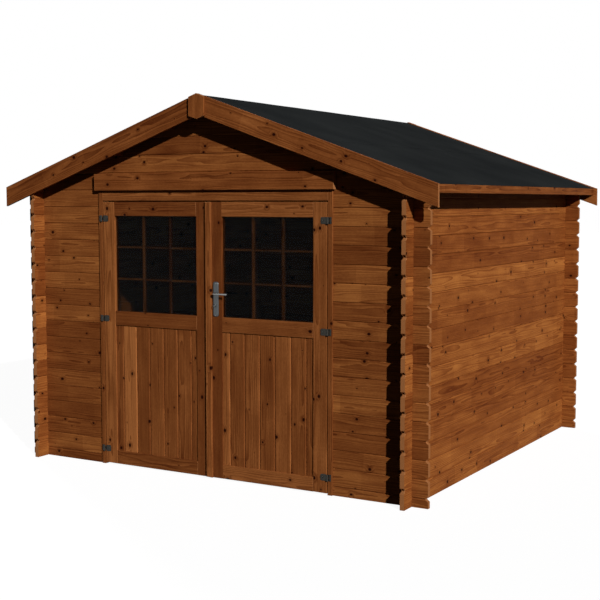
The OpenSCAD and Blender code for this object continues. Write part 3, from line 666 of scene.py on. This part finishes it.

# Float glass, 4 mm: from outside it mirrors a little and shows the dark room. A near-black layer
# over 45 % of the pane is painted shade, darkening the room and the bars behind it.
pane, t = blank("float_glass_painted_shade")
surface = add(t, "ShaderNodeBsdfPrincipled",
              {"Base Color": linear("#040404"), "Roughness": 0.02, "IOR": 1.45,
               "Specular IOR Level": 0.08, "Alpha": 0.45})
add(t, "ShaderNodeOutputMaterial", {0: surface})
for name in ("left_leaf_glass", "right_leaf_glass"):
    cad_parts[name].data.materials.clear()
    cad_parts[name].data.materials.append(pane)

# ---------------------------------------------------------------- hinges
# Three pressed steel hinges a leaf, zinc plated and passivated dark. The plates are
# rolled round a pin and screwed to the jamb and the leaf, and a round-headed bolt
# goes through each leaf's stile.
PIN_X, PIN_Y, PIN_H = 0.879, -1.458, 0.042
GAUGE, LIE = 0.003, 0.007                        # sheet, and its back behind the pin
KNUCKLE_Z, SCREW_Z = 0.01375, 0.0125             # off the middle of a hinge
BOLT_R = 0.0075                                  # head of the bolt
low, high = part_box("jamb_hinges_right")
HINGE_Z = low.z + PIN_H / 2, 1.010, high.z - PIN_H / 2


def metal_shell(rings, loop=False):
    """Outlines joined to a closed shell, with the values that build() asks for."""
    points, quads, caps = join(rings, loop)
    return dict(points=points, faces=quads.tolist() + caps.tolist(), grain=points,
                tone=np.full(len(points), 0.5), end=np.zeros(len(quads) + len(caps)))


def turned(profile, foot, axis, count=20):
    """A profile of (radius, height) points turned round an axis: point = foot +
    height A + radius (cos u B + sin u C), with u round the circle."""
    a = np.asarray(axis, float)
    b = np.cross(a, (0, 0, 1) if abs(a[2]) < 0.5 else (1, 0, 0))
    u = np.arange(count)[:, None] * 2 * np.pi / count
    circle = np.cos(u) * b + np.sin(u) * np.cross(a, b)
    r, h = np.asarray(profile, float).T[:, :, None, None]
    return metal_shell(np.asarray(foot, float) + h * a + r * circle)


def pressed(size, corner, edge, place, rise=None):
    """A plate of (width, height, thickness) round its middle with round corners. Each
    outline is four quarter circles joined by straight edges, and it draws in by
    edge (1 - cos a) while it climbs by rise sin a, so that the rim is rolled."""
    rise = rise or edge
    a = np.linspace(0, np.pi / 2, 6)
    inset = np.concatenate([[0], edge * (1 - np.cos(a))])[:, None]
    climb = np.concatenate([[0], size[2] - rise + rise * np.sin(a)])[:, None, None]
    turn = (np.arange(4)[:, None] * np.pi / 2 + np.linspace(0, np.pi / 2, 5)).ravel()
    r = np.maximum(corner - inset, 0.0003)
    x = np.repeat([1, -1, -1, 1], 5) * (size[0] / 2 - inset - r) + r * np.cos(turn)
    y = np.repeat([1, 1, -1, -1], 5) * (size[1] / 2 - inset - r) + r * np.sin(turn)
    middle, right, up, out = (np.asarray(v, float) for v in place)
    return metal_shell(middle + x[..., None] * right + y[..., None] * up + climb * out)


def screw(foot, out, radius=0.004, rise=0.0016):
    """A pan-head screw: a low dome turned round its axis, with a round recess."""
    return turned([(radius, 0), (radius, rise * 0.3), (radius * 0.86, rise * 0.8),
                   (radius * 0.5, rise), (radius * 0.36, rise), (radius * 0.2, rise * 0.4)],
                  foot, out, 12)


def metal(name, code, dull, rough):
    """Bare metal: its colour varies between code and dull over a few mm, and the
    finish has fine upright lines that change how sharply it mirrors."""
    made, t = blank(name)
    spot = add(t, "ShaderNodeTexCoord").outputs["Object"]
    cloud = add(t, "ShaderNodeTexNoise", {"Vector": spot, "Scale": 140.0, "Detail": 3.0})
    colour = add(t, "ShaderNodeMix", {"Factor": cloud, 6: linear(code), 7: linear(dull)},
                 data_type="RGBA")
    lines = grained(t, spot, (1600, 1600, 60), 2.0)
    shine = add(t, "ShaderNodeMath", {0: lines, 1: 0.24, 2: rough - 0.12},
                operation="MULTIPLY_ADD")
    bump = add(t, "ShaderNodeBump", {"Strength": 0.15, "Distance": 0.0002, "Height": cloud})
    surface = add(t, "ShaderNodeBsdfPrincipled",
                  {"Base Color": colour.outputs[2], "Metallic": 1.0, "Roughness": shine,
                   "Normal": bump})
    add(t, "ShaderNodeOutputMaterial", {0: surface})
    return made


zinc = metal("zinc_passivated_dark", "#403e39", "#2b2a28", 0.50)
for side, name in ((-1, "left"), (1, "right")):
    right = mirrored(X, side)
    on_jamb, on_leaf = [], []
    for z in HINGE_Z:
        pin = np.array([side * PIN_X, PIN_Y, z])
        half, face = PIN_H / 2, Y * (LIE - GAUGE)
        on_jamb.append(turned([(0.0025, -half), (0.0035, -half + 0.001),
                               (0.0035, half - 0.001), (0.0025, half)], pin, Z))
        for way in (-1, 1):
            knuckle = [(0.0062, 0), (0.0070, 0.0008), (0.0070, 0.0122), (0.0062, 0.0130)]
            on_jamb.append(turned(knuckle, pin + Z * (way * KNUCKLE_Z - 0.0065), Z))
            tab = pin + right * 0.0055 + Z * way * KNUCKLE_Z + Y * LIE
            on_jamb.append(pressed((0.011, 0.013, GAUGE), 0.0006, 0.0005, (tab, X, Z, -Y)))
            at = pin + Z * way * SCREW_Z + face
            on_jamb.append(screw(at + right * 0.0155, -Y, 0.0036))
            on_leaf.append(screw(at - right * 0.019, -Y))
        plate = pin + right * 0.015 + Y * LIE
        on_jamb.append(pressed((0.014, PIN_H, GAUGE), 0.0025, 0.0010, (plate, X, Z, -Y)))
        on_leaf.append(turned([(0.0062, -0.007), (0.0070, -0.0062), (0.0070, 0.0062),
                               (0.0062, 0.007)], pin, Z))
        tab = pin - right * 0.0055 + Y * LIE
        on_leaf.append(pressed((0.011, 0.014, GAUGE), 0.0006, 0.0005, (tab, X, Z, -Y)))
        plate = pin - right * 0.030 + Y * LIE
        on_leaf.append(pressed((0.044, PIN_H, GAUGE), 0.009, 0.0012, (plate, X, Z, -Y)))
        rise = np.linspace(0, 1.25, 5)
        dome = zip(BOLT_R * np.cos(rise), 0.0012 + 0.0045 * np.sin(rise))
        on_leaf.append(turned([(BOLT_R, 0), *dome], pin - right * 0.042 + face, -Y))
    build("hinges_jamb_" + name, on_jamb, zinc, "house", ["jamb_hinges_" + name])
    build("hinges_leaf_" + name, on_leaf, zinc, name + "_door", [name + "_leaf_hinges"])

# ---------------------------------------------------------------- lock and lever
# A mortice lock with a long plate and a drop lever on each face of the right leaf.
# The plates are brushed steel, and the levers and the key are polished. The key
# stands in the outer cylinder.
steel = metal("steel_brushed", "#5c5e5e", "#484a4b", 0.34)
polished = metal("steel_polished", "#8e908e", "#747674", 0.22)
LOCK_X, LEVER_Z, KEY_Z = 0.054, 1.215, 1.137
PLATE_T, BEND_R = 0.008, 0.013                   # lock plate, bend of the lever
GRIP_R, TIP_L = 0.0062, 0.0045                   # half height of the grip, round end
KEY_LOW, KEY_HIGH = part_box("door_key")


def swept(path, wide, deep, up, count=16, loop=False):
    """An oval carried along a path: point = path + wide cos u S + deep sin u U. U is
    the direction that the path never takes, and S is square to U and to the path."""
    path, up = np.asarray(path, float), np.asarray(up, float)
    along = np.roll(path, -1, 0) - np.roll(path, 1, 0) if loop else np.gradient(path, axis=0)
    aside = np.cross(up, along)
    aside /= np.linalg.norm(aside, axis=1, keepdims=True)
    u = (np.arange(count) * 2 * np.pi / count)[:, None]
    wide, deep = (np.broadcast_to(v, len(path))[:, None, None] for v in (wide, deep))
    return metal_shell(path[:, None] + wide * np.cos(u) * aside[:, None]
                       + deep * np.sin(u) * up, loop)


for face, way in (("outer", -1), ("inner", 1)):
    low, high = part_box("lock_plate_" + face)
    out = Y * way
    back = high.y if way < 0 else low.y          # the leaf's face
    plate_front = back + way * PLATE_T
    middle = np.array([LOCK_X, back, (low.z + high.z) / 2])
    parts = [pressed((high.x - low.x, high.z - low.z - 0.006, PLATE_T), 0.015, 0.013,
                     (middle + Z * 0.003, X, Z, out), rise=0.007),
             turned([(0.0115, -0.001), (0.0115, 0.0025), (0.0108, 0.0034), (0.0095, 0.004),
                     (0.0072, 0.004)], (LOCK_X, plate_front, LEVER_Z), out, 28)]
    for z in (low.z + 0.013, high.z - 0.013):
        parts.append(screw((LOCK_X, plate_front, z), out, 0.0042, 0.0012))
    # The cylinder's face: a round with a tongue below it, a little proud.
    parts.append(turned([(0.0085, 0), (0.0085, 0.0007), (0.0079, 0.0012), (0.002, 0.0012)],
                        (LOCK_X, plate_front, KEY_Z), out, 24))
    parts.append(pressed((0.0100, 0.022, 0.0012), 0.0049, 0.0005,
                         ((LOCK_X, plate_front, KEY_Z - 0.0140), X, Z, out)))
    build("lock_plate_" + face + "_pressed", parts, steel, "right_door",
          ["lock_plate_" + face])

    # The lever: a round neck, a bend of 13 mm radius, and a flat oval grip whose end
    # is rounded by a cosine. Each part gives its x, its y and its two half widths.
    low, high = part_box("lever_" + face)
    grip_y = (low.y if way < 0 else high.y) - way * GRIP_R
    start = plate_front - way * 0.001
    bend, tip = np.linspace(0, np.pi / 2, 8), np.linspace(0.35, 1.45, 5)
    x = np.concatenate([np.full(3, LOCK_X), LOCK_X + BEND_R * (1 - np.cos(bend)),
                        np.linspace(LOCK_X + 0.020, high.x - TIP_L, 9),
                        high.x - TIP_L + 0.0044 * np.sin(tip)])
    y = np.concatenate([np.linspace(start, grip_y - way * 0.0135, 3),
                        grip_y - way * BEND_R * (1 - np.sin(bend)), np.full(14, grip_y)])
    path = np.stack([x, y, np.full(25, LEVER_Z)], 1)
    wide = np.concatenate([np.full(6, 0.0055), np.linspace(0.0055, 0.0060, 5),
                           np.linspace(0.0060, 0.0046, 9), 0.0046 * np.cos(tip)])
    deep = np.concatenate([np.full(6, 0.0055), np.linspace(0.0055, 0.0048, 5),
                           np.linspace(0.0046, GRIP_R, 9), GRIP_R * np.cos(tip)])
    build("lever_" + face + "_swept", [swept(path, wide, deep, Z)], polished, "lever",
          ["lever_" + face])

# The key: a collar, a round shank and a ring of oval stock to hold it by.
front = KEY_LOW.y
ring_r = (KEY_HIGH.z - KEY_LOW.z) / 2
u = np.linspace(0, 2 * np.pi, 24, endpoint=False)
wire_r = ring_r - 0.0026                         # middle of the ring's stock
ring = np.stack([np.full(24, LOCK_X), front + ring_r + wire_r * np.cos(u),
                 KEY_Z + wire_r * np.sin(u)], 1)
plate_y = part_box("lock_plate_outer")[1].y - PLATE_T
reach = plate_y - front - 2 * ring_r + 0.0045
key = [swept(ring, 0.0021, 0.0014, X, 10, loop=True),
       turned([(0.0024, -0.0005), (0.0024, reach)], (LOCK_X, plate_y, KEY_Z), -Y, 12),
       turned([(0.0038, 0.0012), (0.0038, 0.0030), (0.0030, 0.0036)],
              (LOCK_X, plate_y, KEY_Z), -Y, 16)]
build("key_stamped", key, polished, "right_door", ["door_key"])

# ---------------------------------------------------------------- stage
# A white floor that keeps a faint shadow, one low sun from the front right, and a
# weak even sky. Camera, gloss and glass see white; diffuse light gets little.


def seen_rays(tree):
    """One for camera, glossy and transmission rays, and none for diffuse ones."""
    path = add(tree, "ShaderNodeLightPath").outputs
    seen = add(tree, "ShaderNodeMath", {0: path["Is Camera Ray"], 1: path["Is Glossy Ray"]},
               operation="ADD")
    return add(tree, "ShaderNodeMath", {0: seen, 1: path["Is Transmission Ray"]},
               operation="ADD", use_clamp=True)


floor_mesh = bpy.data.meshes.new("stage_floor")
floor_mesh.from_pydata([(-60, -60, 0), (60, -60, 0), (60, 60, 0), (-60, 60, 0)], [],
                       [(0, 1, 2, 3)])
white, t = blank("stage_white")
seen = seen_rays(t)
glow = add(t, "ShaderNodeEmission", {"Strength": 0.93})
pale = add(t, "ShaderNodeBsdfDiffuse", {"Color": (0.12, 0.12, 0.12, 1)})
shown = add(t, "ShaderNodeAddShader", {0: glow, 1: pale})
matt = add(t, "ShaderNodeBsdfDiffuse", {"Color": (0.04, 0.04, 0.04, 1)})
both = add(t, "ShaderNodeMixShader", {0: seen, 1: matt, 2: shown})
add(t, "ShaderNodeOutputMaterial", {0: both})
floor_mesh.materials.append(white)
floor = bpy.data.objects.new("stage_floor", floor_mesh)
bpy.context.scene.collection.objects.link(floor)

world = bpy.data.worlds.new("stage_sky")
bpy.context.scene.world = world
world.use_nodes = True
t = world.node_tree
t.nodes.clear()
level = add(t, "ShaderNodeMapRange", {0: seen_rays(t), 1: 0.0, 2: 1.0, 3: 0.025, 4: 1.0})
sky = add(t, "ShaderNodeBackground", {"Color": (1, 1, 1, 1), "Strength": level})
add(t, "ShaderNodeOutputWorld", {0: sky})

# The sun stands low at the front right. A softer, weaker one behind lights the far
# sides, and touches nothing that faces the front.
for name, energy, angle, to_sun, place in (("sun", 3.83, 0.8, (1.35, -1.0, 0.73), (6, -4, 5)),
                                           ("back_light", 2.3, 12, (-1.3, 1.0, 0.7), (-6, 4, 5))):
    sun = bpy.data.lights.new(name, "SUN")
    sun.energy, sun.angle = energy, np.radians(angle)
    lamp = bpy.data.objects.new(name, sun)
    bpy.context.scene.collection.objects.link(lamp)
    to_sun = np.array(to_sun) / np.linalg.norm(to_sun)
    aside = np.cross([0, 0, 1], to_sun)
    aside /= np.linalg.norm(aside)
    lamp.matrix_world = Matrix(np.vstack([np.column_stack(
        [aside, np.cross(to_sun, aside), to_sun, place]), [0, 0, 0, 1]]).tolist())

camera = bpy.data.cameras.new("camera")
camera.lens, camera.sensor_width = 69.904, 36.0
camera.clip_end = 200
view = bpy.data.objects.new("camera", camera)
bpy.context.scene.collection.objects.link(view)
view.matrix_world = (Matrix.Translation((4.2932, -7.6254, 1.8064))
                     @ Matrix.Rotation(np.radians(30.3346), 4, "Z")
                     @ Matrix.Rotation(np.radians(90 - 4.8455), 4, "X")
                     @ Matrix.Rotation(np.radians(-0.011), 4, "Z"))
bpy.context.scene.camera = view
bpy.context.scene.view_settings.view_transform = "Standard"
